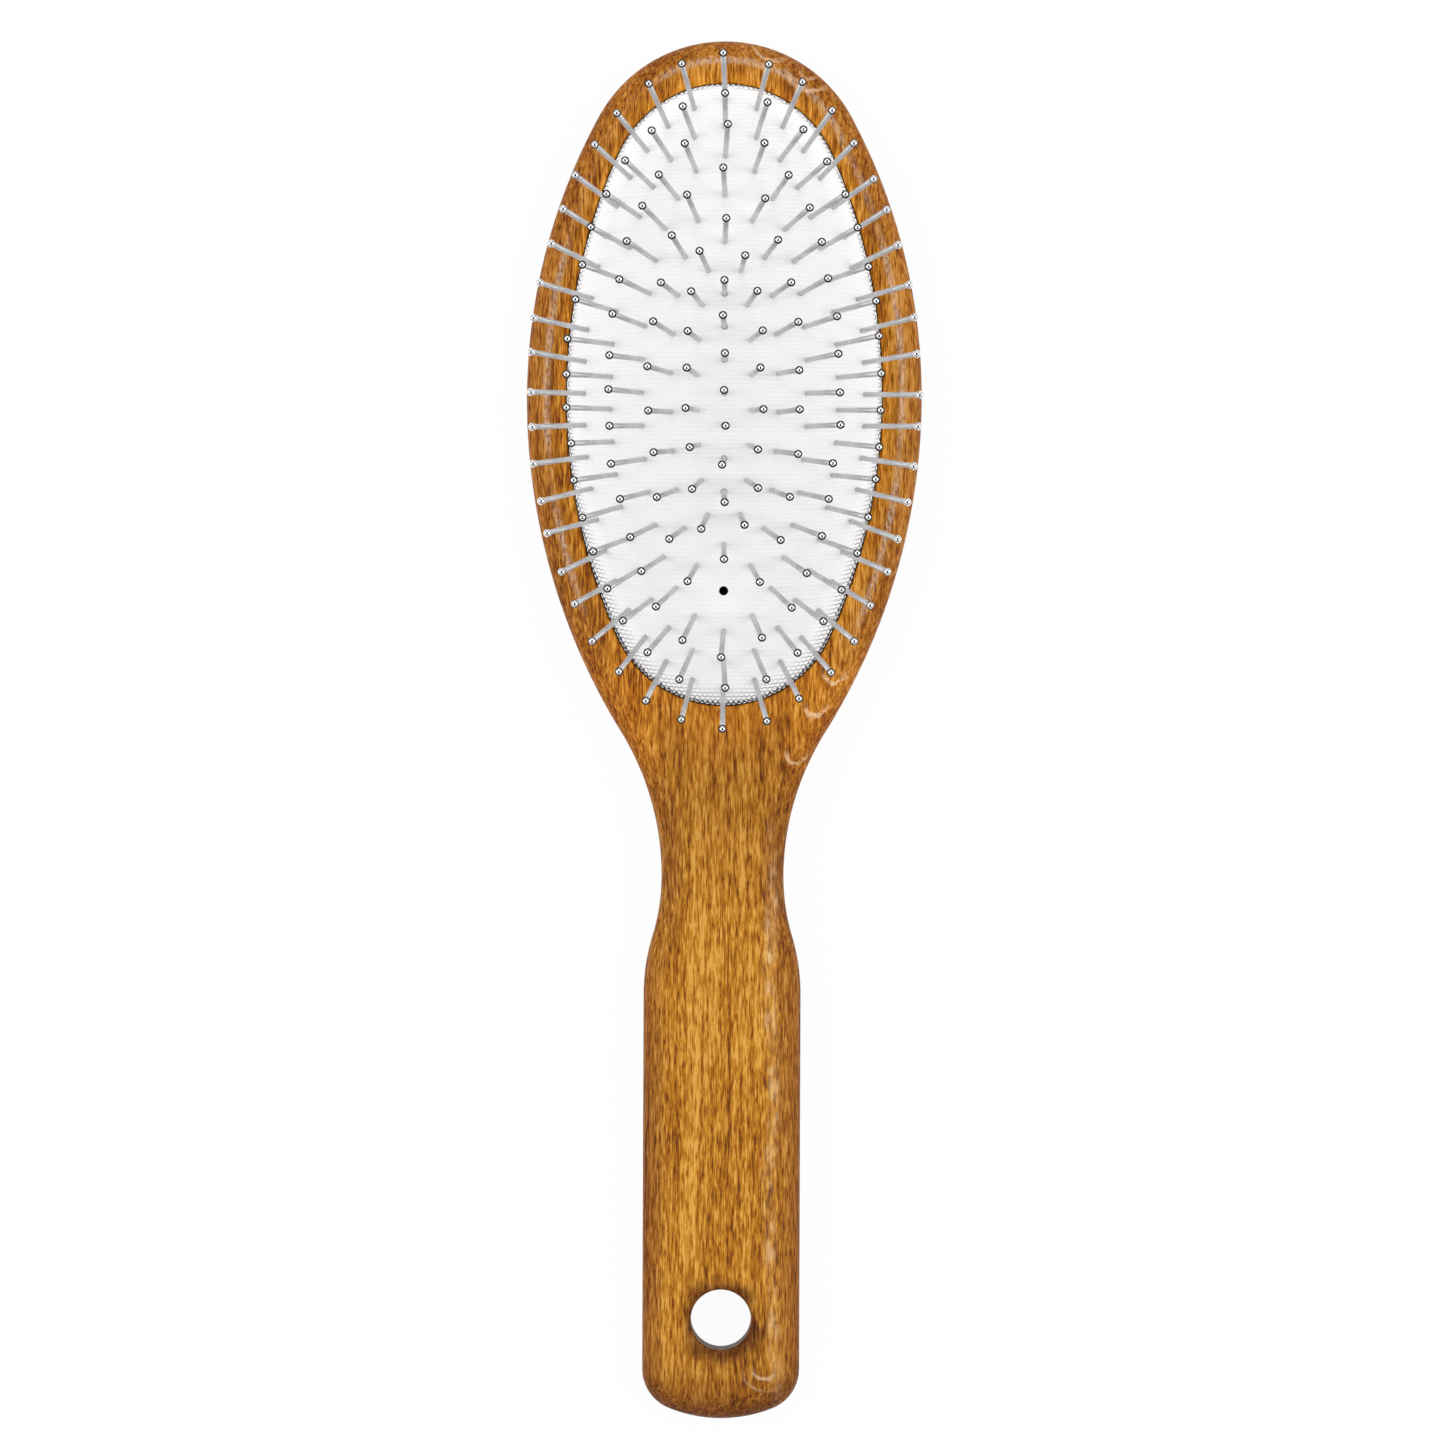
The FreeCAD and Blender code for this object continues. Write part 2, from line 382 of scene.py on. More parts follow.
    def material(self) -> Material:
        """Build the material.

        Returns:
            The wood.
        """
        paint = Paint("stained_beech")
        x, y, _ = paint.split(paint.where())
        inset, tone = paint.kept("inset"), self.tone(paint)
        colour = paint.ramp(tone, [
            (0.0, self.darkest), (0.3, self.dark), (0.55, self.middle), (0.8, self.light),
            (1.0, self.lightest),
        ])
        on_head = paint.remap(y, -12.0, 4.0)
        aside = paint.remap(paint.math("ABSOLUTE", x), 8.5, 13.5)
        rim = paint.times(paint.remap(inset, 4.7, 6.4), on_head)
        shoulder = paint.times(paint.near(y, self.shoulder_y, 20.0, 8.0), aside)
        # Painted shade: the wood darkens towards its outline over the rounded edges, weaker on the
        # head
        cloud = paint.minus(paint.noise((0.10, 0.05, 0.10), 3.0, 0.6), 0.5)
        edge_shade = paint.remap(paint.math("MULTIPLY_ADD", cloud, 3.0, inset), 5.0, 0.0)
        edge_shade = paint.times(edge_shade, paint.remap(y, -50.0, -20.0, 1.0, 0.62))
        # Painted shade: darker towards the handle's end, and a painted shadow of the cushion on
        # the neck just below it, kept off the shoulders
        pad_shadow = paint.near(y, self.pad_shadow_y, 26.0, 4.0, 0.0, 0.42)
        pad_shadow = paint.times(pad_shadow, paint.minus(1.0, aside))
        low = paint.larger(paint.remap(y, -98.0, -113.0), pad_shadow)
        rim_highlight = self.rim_highlight(paint, inset)
        layers = (
            # Pale ray flecks of the wood with painted sheen
            ("MIX", self.rays_and_sheen(paint), self.pale_ray_and_sheen),
            ("MIX", paint.times(self.curls(paint), 0.68), self.curl_colour),
            ("MULTIPLY", on_head, self.head_tint),
            ("MULTIPLY", paint.larger(rim, shoulder), self.rim_tint),
            # Painted shade on the rounded edges
            ("MULTIPLY", edge_shade, self.edge_shade_tint),
            # Painted shade at the handle's end and painted shadow below the cushion
            ("MULTIPLY", low, self.end_and_pad_shade_tint),
            ("MULTIPLY", self.scorch(paint), self.scorch_tint),
            # Painted highlight along the head's rounded edge
            ("MIX", paint.times(rim_highlight, 0.48), self.highlight_colour),
        )
        for mode, mask, tint in layers:
            colour = paint.blend(mask, colour, tint, mode)
        return paint.finish({
            "Base Color": colour,
            "Specular IOR Level": paint.remap(inset, 0.3, 2.6, 0.08, 0.15),
            "Coat Weight": paint.times(rim_highlight, 0.5),
            "Coat Roughness": 0.20,
            "Roughness": paint.remap(tone, 0.0, 1.0, self.roughness + 0.16, self.roughness),
            "Normal": paint.bump(tone, 0.35, 0.06),
        })


@dataclass(frozen=True)
class Knit:
    """White knitted facing: rows of stitches, with painted shade that darkens the gaps between
    them and draws a serrated dark line where it turns down.
    """

    wale: float = 0.88
    course: float = 0.72
    yarn: Colour = (0.905, 0.905, 0.910, 1.0)
    gap_and_shade: Colour = (0.060, 0.065, 0.085, 1.0)
    fluff: Colour = (0.55, 0.55, 0.57, 1.0)

    def material(self) -> Material:
        """Build the material.

        Returns:
            The facing.
        """
        paint = Paint("white_knit")
        u, v, _ = paint.split(paint.out("ShaderNodeUVMap", uv_map="facing"))
        _, y, _ = paint.split(paint.where())
        row = paint.math("DIVIDE", v, self.course)
        ridge = paint.math("ABSOLUTE", paint.math("SINE", paint.times(row, math.pi)))
        # Each row's loops sit half a loop along from the last row's
        shift = paint.times(paint.math("FLOOR", row), math.pi)
        turn = paint.plus(paint.times(u, TURN / self.wale), shift)
        loop = paint.math("MULTIPLY_ADD", paint.math("COSINE", turn), 0.5, 0.5)
        # Painted shade near the edge: the gaps between rows darken and a serrated dark line runs
        # along the edge, reaching furthest towards the handle
        depth = paint.math("MULTIPLY_ADD", paint.kept("near_edge"), -EDGE_BAND, EDGE_BAND)
        reach = paint.remap(y, 2.0, 60.0, 3.4, 0.9)
        turn_shade = paint.remap(paint.math("DIVIDE", depth, reach), 1.0, 0.1)
        slit = paint.math("POWER", paint.minus(1.0, ridge), 1.2)
        slit = paint.times(slit, paint.remap(loop, 0.95, 0.30))
        slit_and_shade = paint.math("MULTIPLY_ADD", turn_shade, 1.30, 0.07)
        rows = paint.math("MULTIPLY", slit, slit_and_shade, clamp=True)
        shadow_tooth = paint.math("MULTIPLY_ADD", loop, 0.45, depth)
        shadow_tooth = paint.plus(shadow_tooth, paint.remap(y, 4.0, 60.0, 0.0, 0.38))
        dark = paint.larger(rows, paint.remap(shadow_tooth, 0.95, 0.45))
        fuzz = paint.remap(paint.noise((1.4, 1.4, 1.4), 3.0, 0.6), 0.70, 0.80, 0.0, 0.20)
        loops = paint.remap(loop, 0.0, 1.0, 0.65, 1.0)
        height = paint.times(paint.math("POWER", ridge, 0.7), loops)
        return paint.finish({
            "Base Color": paint.blend(fuzz, paint.blend(dark, self.yarn, self.gap_and_shade), self.fluff),
            "Normal": paint.bump(height, 0.5, 0.10),
            "Roughness": 0.85, "Specular IOR Level": 0.25, "Sheen Weight": 0.15,
        })


@dataclass(frozen=True)
class Rubber:
    """Dark rubber of the cushion's inside, its edge bead and the wall of its vent."""

    colour: Colour = (0.030, 0.030, 0.032, 1.0)
    bloom: Colour = (0.05, 0.05, 0.05, 1.0)

    def material(self) -> Material:
        """Build the material.

        Returns:
            The rubber.
        """
        paint = Paint("cushion_rubber")
        cloud = paint.noise((0.5, 0.5, 0.5), 3.0, 0.6)
        colour = paint.blend(cloud, self.colour, self.bloom)
        return paint.finish({"Base Color": colour, "Roughness": 0.7})


@dataclass(frozen=True)
class Steel:
    """Bare steel, turned black and non-metallic where the mesh marks it painted_dark: a painted
    reflection on the balls, painted shade on the lips.
    """

    name: str
    colour: Colour
    roughness: float
    unevenness: float
    dark_reflection_and_shade: Colour = (0.020, 0.020, 0.021, 1.0)
    worn_share: float = 0.88

    def material(self) -> Material:
        """Build the material.

        Returns:
            The steel.
        """
        paint = Paint(self.name)
        cloud = paint.noise((1.3, 1.3, 0.5), 3.0, 0.6)
        worn = tuple(self.worn_share * c for c in self.colour[:3]) + (1.0,)
        colour = paint.blend(paint.remap(cloud, 0.45, 0.75), self.colour, worn)
        # Painted reflection and shade: black, non-metallic steel where painted_dark marks it
        painted_dark = paint.kept("painted_dark")
        crown, underside = paint.remap(painted_dark, 0.22, 0.33, 1.0, 0.0), paint.remap(painted_dark, 0.95, 1.10)
        bright = paint.larger(crown, underside)
        low, high = self.roughness - self.unevenness, self.roughness + self.unevenness
        return paint.finish({
            "Roughness": paint.remap(cloud, 0.3, 0.7, low, high),
            "Base Color": paint.blend(bright, self.dark_reflection_and_shade, colour),
            "Metallic": bright,
            "Specular IOR Level": paint.times(bright, 0.5),
        })


WIRE_STEEL = Steel("drawn_steel", (0.68, 0.68, 0.685, 1.0), roughness=0.50, unevenness=0.06)
BALL_STEEL = Steel("polished_steel", (0.93, 0.93, 0.94, 1.0), roughness=0.06, unevenness=0.02)


def new_mesh(
    name: str, points: Sequence[Point], edges: Sequence = (), faces: Sequence = ()
) -> bpy.types.Mesh:
    """Make a mesh in metres.

    Args:
        name: The mesh's name.
        points: Its points in millimetres.
        edges: Pairs of point numbers.
        faces: Runs of point numbers.

    Returns:
        The mesh.
    """
    mesh = bpy.data.meshes.new(name)
    mesh.from_pydata([tuple(MM * c for c in point) for point in points], edges, faces)
    return mesh


def new_object(name: str, data: bpy.types.ID) -> Object:
    """Make an object and put it in the scene.

    Args:
        name: The object's name.
        data: Its mesh, lamp or camera data.

    Returns:
        The object.
    """
    made = bpy.data.objects.new(name, data)
    bpy.context.scene.collection.objects.link(made)
    return made


def settle(made: Object) -> None:
    """Turn what an object's modifiers give into its own mesh, and remove them.

    Args:
        made: The object.
    """
    bpy.context.view_layer.update()
    graph = bpy.context.evaluated_depsgraph_get()
    final = bpy.data.meshes.new_from_object(made.evaluated_get(graph))
    final.name = made.name
    made.modifiers.clear()
    made.data = final


class Growth(Graph):
    """The nodes of one geometry tree that takes geometry and numbers."""

    def __init__(self, name: str, *numbers: str) -> None:
        """Make the tree.

        Args:
            name: The tree's name.
            *numbers: The names of its numbers, of which Seed is a whole one.
        """
        super().__init__(bpy.data.node_groups.new(name, "GeometryNodeTree"))
        sockets = [("Geometry", "OUTPUT", "Geometry"), ("Geometry", "INPUT", "Geometry")]
        sockets += [(label, "INPUT", "Int" if label == "Seed" else "Float") for label in numbers]
        for label, way, kind in sockets:
            self.tree.interface.new_socket(label, in_out=way, socket_type="NodeSocket" + kind)
        self.given = self.add("NodeGroupInput").outputs

    def move(self, geometry: Socket, how: str, x: Value, y: Value, z: Value) -> Socket:
        """Shift geometry where how is Translation, or stretch it where how is Scale."""
        vector = self.out("ShaderNodeCombineXYZ", {0: x, 1: y, 2: z})
        return self.out("GeometryNodeTransform", {"Geometry": geometry, how: vector})

    def rod(self, sides: int, radius: Value, depth: Value, bottom: Value) -> Socket:
        """Add an upright round rod.

        Args:
            sides: Points round it.
            radius: Its radius.
            depth: Its height.
            bottom: The height of its lower end.

        Returns:
            The rod's geometry.
        """
        inputs = {"Vertices": sides, "Radius": radius, "Depth": depth}
        rod = self.out("GeometryNodeMeshCylinder", inputs)
        middle = self.plus(bottom, self.times(depth, 0.5))
        return self.move(rod, "Translation", 0.0, 0.0, middle)

    def ball(self, segments: int, rings: int, radius: Value) -> Socket:
        """Add a ball about the origin."""
        inputs = {"Segments": segments, "Rings": rings, "Radius": radius}
        return self.out("GeometryNodeMeshUVSphere", inputs)

    def mark(self, geometry: Socket, name: str, value: Value, **where: Value) -> Socket:
        """Keep a number at geometry's points, or a yes at its faces.

        Args:
            geometry: What to mark.
            name: The mark's name.
            value: The mark.
            **where: The node's Selection, where not all is marked.

        Returns:
            The marked geometry.
        """
        kinds = ("BOOLEAN", "FACE") if isinstance(value, bool) else ("FLOAT", "POINT")
        inputs = {"Geometry": geometry, "Name": name, "Value": value, **where}
        settings = dict(zip(("data_type", "domain"), kinds))
        return self.out("GeometryNodeStoreNamedAttribute", inputs, **settings)

    def strew(self, part: Socket, points: Socket, along: Socket) -> Socket:
        """Stand a part on points.

        Args:
            part: The part's geometry.
            points: The points.
            along: The way that the part's Z takes at each point.

        Returns:
            The parts as plain geometry.
        """
        turned = self.out("FunctionNodeAlignRotationToVector", {"Vector": along}, axis="Z")
        smooth = self.out("GeometryNodeSetShadeSmooth", {"Geometry": part})
        inputs = {"Points": points, "Instance": smooth, "Rotation": turned}
        stood = self.out("GeometryNodeInstanceOnPoints", inputs)
        return self.out("GeometryNodeRealizeInstances", {"Geometry": stood})

    def dress(self, geometry: Socket, finish: Material, **where: Value) -> Socket:
        """Give geometry a material, all of it or a Selection."""
        inputs = {"Geometry": geometry, "Material": finish, **where}
        return self.out("GeometryNodeSetMaterial", inputs)

    def run(self, made: Object, values: Sequence[Value]) -> None:
        """Run the tree on an object and keep what it makes.

        Args:
            made: The object.
            values: The tree's numbers, in order.
        """
        growth = made.modifiers.new("growth", "NODES")
        growth.node_group = self.tree
        sockets = [s for s in self.tree.interface.items_tree if s.in_out == "INPUT"][1:]
        for socket, value in zip(sockets, values):
            growth[socket.identifier] = value
        settle(made)


@dataclass(frozen=True)
class Arc:
    """A run of an outline round a centre. It is hollow where its angle falls."""

    x: float
    y: float
    radius: float
    first: float
    last: float

    def walk(self, step: float) -> Rows:
        """Points along the arc with their outward normals, without its last point.

        Args:
            step: The wanted distance from point to point.

        Returns:
            Rows of x, y, normal x and normal y.
        """
        length = abs(self.last - self.first) * self.radius
        count = max(2, math.ceil(length / min(step, ARC_STEP * self.radius)))
        outwards = 1.0 if self.last > self.first else -1.0
        rows = []
        for angle in np.linspace(self.first, self.last, count, endpoint=False):
            c, s = math.cos(angle), math.sin(angle)
            point = (self.x + self.radius * c, self.y + self.radius * s)
            rows.append((*point, outwards * c, outwards * s))
        return rows


def mirrored(right: Rows) -> Array:
    """Close an outline whose right side runs from the bottom's middle up to the top's middle.

    Args:
        right: The right side's rows, with both middles.

    Returns:
        The rows of the whole outline, anticlockwise.
    """
    rows = np.array(right)
    left = rows[1:-1][::-1] * np.array([-1.0, 1.0, -1.0, 1.0])
    return np.vstack([rows, left])


@dataclass(frozen=True)
class Oval:
    """An oval of four arcs that meet at tangents, with its long axis along Y."""

    half_width: float
    half_length: float
    end_radius: float
    centre_y: float

    @property
    def side_radius(self) -> float:
        """Radius of the two side arcs."""
        reach = self.half_width**2 + self.half_length**2 - 2 * self.half_length * self.end_radius
        return reach / (2 * (self.half_width - self.end_radius))

    @property
    def side_x(self) -> float:
        """Where the right side arc has its centre."""
        return self.half_width - self.side_radius

    @property
    def end_y(self) -> float:
        """How far an end arc's centre is from the oval's middle."""
        return self.half_length - self.end_radius

    @property
    def join(self) -> float:
        """The angle at which the right side arc meets the upper end arc."""
        return math.atan2(self.end_y, -self.side_x)

    def outline(self, step: float) -> Array:
        """The oval's points and outward normals.

        Args:
            step: The wanted distance from point to point.

        Returns:
            Rows of x, y, normal x and normal y.
        """
        low, high = self.centre_y - self.end_y, self.centre_y + self.end_y
        arcs = [
            Arc(0.0, low, self.end_radius, -RIGHT_ANGLE, -self.join),
            Arc(self.side_x, self.centre_y, self.side_radius, -self.join, self.join),
            Arc(0.0, high, self.end_radius, self.join, RIGHT_ANGLE),
        ]
        right = [row for arc in arcs for row in arc.walk(step)]
        return mirrored(right + [(0.0, high + self.end_radius, 0.0, 1.0)])

    def depth(self, xy: Array) -> Array:
        """How far points are inside the oval.

        Args:
            xy: Their x and y, in rows.

        Returns:
            The distances to the oval's edge, and 0 outside it.
        """
        right, up = np.abs(xy[..., 0]), np.abs(xy[..., 1] - self.centre_y)
        past_join = -self.side_x * up - self.end_y * (right - self.side_x) > 0
        to_end = self.end_radius - np.hypot(right, up - self.end_y)
        to_side = self.side_radius - np.hypot(right - self.side_x, up)
        return np.maximum(np.where(past_join, to_end, to_side), 0.0)


def offset(outline: Array, distance: float) -> Array:
    """Move an outline outwards along its normals, or inwards by a negative distance."""
    return outline[:, :2] + distance * outline[:, 2:]


class Shell:
    """Collects rings of points, the bands of faces between them, and one number a point."""

    def __init__(self, name: str, value_name: str) -> None:
        """Start an empty shell.

        Args:
            name: The object's name.
            value_name: The name of the number that each point keeps.
        """
        self.name = name
        self.value_name = value_name
        self.points: List[Point] = []
        self.values: List[float] = []
        self.faces: List[Tuple[int, ...]] = []
        self.finishes: List[int] = []

    def ring(
        self, xy: Array, z: Union[float, Array], value: Union[float, Array]
    ) -> List[int]:
        """Add a ring of points.

        Args:
            xy: Their x and y.
            z: Their height.
            value: The number that they keep.

        Returns:
            The points' numbers.
        """
        first = len(self.points)
        heights = np.broadcast_to(z, len(xy))
        self.points += [(px, py, pz) for (px, py), pz in zip(xy, heights)]
        self.values += list(np.broadcast_to(value, len(xy)))
        return list(range(first, first + len(xy)))

    def bridge(self, rings: Sequence[List[int]], finish: int = 0) -> None:
        """Join each ring to the next.

        Args:
            rings: Rings with as many points each.
            finish: The material's number.
        """
        for low, high in zip(rings, rings[1:]):
            for k in range(len(low)):
                self.faces.append((low[k - 1], low[k], high[k], high[k - 1]))
                self.finishes.append(finish)

    def cap(self, ring: List[int], centre: Point, value: float, finish: int = 0) -> None:
        """Close a ring with a fan of faces about a point.

        Args:
            ring: The ring's point numbers.
            centre: The fan's middle.
            value: The number that the middle keeps.
            finish: The material's number.
        """
        self.points.append(centre)
        self.values.append(value)
        middle = len(self.points) - 1
        for k in range(len(ring)):
            self.faces.append((ring[k - 1], ring[k], middle))
            self.finishes.append(finish)

    def build(
        self, *finishes: Material, flat_heights: Sequence[float] = (), sharp: float = 40.0
    ) -> Object:
        """Make the object, with its open flat places filled and its faces pointing outwards.

        Args:
            *finishes: Its materials.
            flat_heights: Heights at which open rings bound a flat face.
            sharp: Edges bent by more than this many degrees stay sharp.

        Returns:
            The new object.
        """
        mesh = new_mesh(self.name, self.points, faces=self.faces)
        mesh.polygons.foreach_set("material_index", self.finishes)
        kept = mesh.attributes.new(self.value_name, "FLOAT", "POINT")
        kept.data.foreach_set("value", np.array(self.values, np.float32))
        bm = bmesh.new()
        bm.from_mesh(mesh)
        for z in flat_heights:
            level = [
                edge for edge in bm.edges
                if edge.is_boundary and all(abs(v.co.z - MM * z) < LEVEL for v in edge.verts)
            ]
            bmesh.ops.triangle_fill(bm, use_beauty=True, edges=level, normal=(0.0, 0.0, 1.0))
        bmesh.ops.recalc_face_normals(bm, faces=bm.faces)
        bm.to_mesh(mesh)
        bm.free()
        mesh.polygons.foreach_set("use_smooth", [True] * len(mesh.polygons))
        mesh.set_sharp_from_angle(angle=math.radians(sharp))
        for finish in finishes:
            mesh.materials.append(finish)
        return new_object(self.name, mesh)


@dataclass
class WoodenBody:
    """The one-piece body: head, neck and handle, with its pocket and hanging hole."""

    length: float = 228.0
    thickness: float = 12.5
    head: Oval = Oval(32.7, 59.1, 23.8, HEAD_END_Y - 59.1)
    flank_radius: float = 104.7
    neck_half_width: float = 10.1
    neck_from_head: float = 79.2
    flare_length: float = 19.5
    handle_half_width: float = 13.0
    end_radius: float = 23.0
    corner_radius: float = 7.0
    face_round: float = 4.5
    back_round: float = 4.0
    hole_radius: float = 5.0
    hole_from_end: float = 16.5
    hole_round: float = 0.7
    pocket: Oval = Oval(26.15, 51.4, 19.35, CUSHION_Y)
    pocket_depth: float = 6.5
    pocket_round: float = 0.35
    undercut_height: float = 2.0
    undercut_reach: float = 1.4
    step: float = 1.0
    hole_step: float = 0.4
    round_steps: int = 8
    held_flat: float = 0.25
    inset_at_hole: float = 8.0

    @property
    def hole_y(self) -> float:
        """Where the hanging hole's middle is along the brush."""
        return self.hole_from_end - self.length / 2

    def outline(self) -> Array:
        """The body's outline from arcs that meet at tangents.

        Returns:
            Rows of x, y, normal x and normal y.
        """
        end_y = self.end_radius - self.length / 2
        corner_x = self.handle_half_width - self.corner_radius
        drop = math.sqrt((self.end_radius - self.corner_radius) ** 2 - corner_x**2)
        corner_y = end_y - drop
        turn = math.atan2(drop, corner_x)
        head_y = self.head.centre_y
        neck_y = head_y - self.neck_from_head
        flare_y = neck_y - self.flare_length
        handle = [
            Arc(0.0, end_y, self.end_radius, -RIGHT_ANGLE, -turn),
            Arc(corner_x, corner_y, self.corner_radius, -turn, 0.0),
        ]
        right = [row for arc in handle for row in arc.walk(self.step)]
        count = math.ceil((flare_y - corner_y) / self.step)
        heights = np.linspace(corner_y, flare_y, count, endpoint=False)
        right += [(self.handle_half_width, y, 1.0, 0.0) for y in heights]

        widening = self.handle_half_width - self.neck_half_width
        flare_radius = (self.flare_length**2 + widening**2) / (4 * widening)
        flare_turn = 2 * math.atan2(widening, self.flare_length)
        flare_x = self.handle_half_width - flare_radius
        hollow_x = self.neck_half_width + flare_radius
        flank_x = self.head.half_width - self.flank_radius
        across = self.neck_half_width - flank_x
        reach = across**2 + self.neck_from_head**2 - self.flank_radius**2
        neck_radius = reach / (2 * (self.flank_radius - across))
        neck_x = self.neck_half_width + neck_radius
        flank_turn = math.atan2(self.neck_from_head, neck_x - flank_x)
        head = self.head
        upper = [
            Arc(flare_x, flare_y, flare_radius, 0.0, flare_turn),
            Arc(hollow_x, neck_y, flare_radius, math.pi + flare_turn, math.pi),
            Arc(neck_x, neck_y, neck_radius, math.pi, math.pi - flank_turn),
            Arc(flank_x, head_y, self.flank_radius, -flank_turn, 0.0),
            Arc(head.side_x, head_y, head.side_radius, 0.0, head.join),
            Arc(0.0, head_y + head.end_y, head.end_radius, head.join, RIGHT_ANGLE),
        ]
        right += [row for arc in upper for row in arc.walk(self.step)]
        return mirrored(right + [(0.0, self.length / 2, 0.0, 1.0)])

    def rounding(self, radius: float, z: float, way: float) -> Rows:
        """Profile of a rounded edge, from the flat face to the upright side.

        Args:
            radius: The rounding's radius.
            z: The flat face's height.
            way: 1 for a face that looks up, -1 for one that looks down.

        Returns:
            Rows of inset and height.
        """
        rows = [(radius + self.held_flat, z)]
        for angle in np.linspace(RIGHT_ANGLE, 0.0, self.round_steps + 1):
            inset = radius * (1 - math.cos(angle))
            rows.append((inset, z - way * radius * (1 - math.sin(angle))))
        return rows

    def both_roundings(self, above: float, below: float) -> Rows:
        """Profile of an upright side with roundings of these radii above and below it."""
        return self.rounding(above, self.thickness, 1.0) + self.rounding(below, 0.0, -1.0)[::-1]

    def build(self, finish: Material) -> Object:
        """Build the body and dress it.

        Args:
            finish: The wood.

        Returns:
            The body's object.
        """
        top, floor = self.thickness, self.thickness - self.pocket_depth
        shell = Shell("beech_body", "inset")
        around = self.outline()
        profile = self.both_roundings(self.face_round, self.back_round)
        shell.bridge([shell.ring(offset(around, -inset), z, inset) for inset, z in profile])

        deep = self.head.half_width - self.pocket.half_width
        rim = [(grown, z, deep) for grown, z in self.rounding(self.pocket_round, top, 1.0)]
        ledge = floor + self.undercut_height
        undercut = [(0.0, ledge), (self.undercut_reach, ledge), (self.undercut_reach, floor)]
        rim += [(grown, z, 0.0) for grown, z in undercut]
        mouth = self.pocket.outline(self.step)
        shell.bridge([shell.ring(offset(mouth, grown), z, value) for grown, z, value in rim])

        bore = self.both_roundings(self.hole_round, self.hole_round)
        circle = np.array(Arc(0.0, self.hole_y, self.hole_radius, 0.0, TURN).walk(self.hole_step))
        value = self.inset_at_hole
        shell.bridge([shell.ring(offset(circle, grown), z, value) for grown, z in bore])

        body = shell.build(finish, flat_heights=(top, 0.0, floor))
        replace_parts(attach(body, "root"), "wooden_body")
        return body


@dataclass(frozen=True)
class Foot:
    """Where a pin stands on the cushion, and which way it points."""

    place: Point
    axis: Point


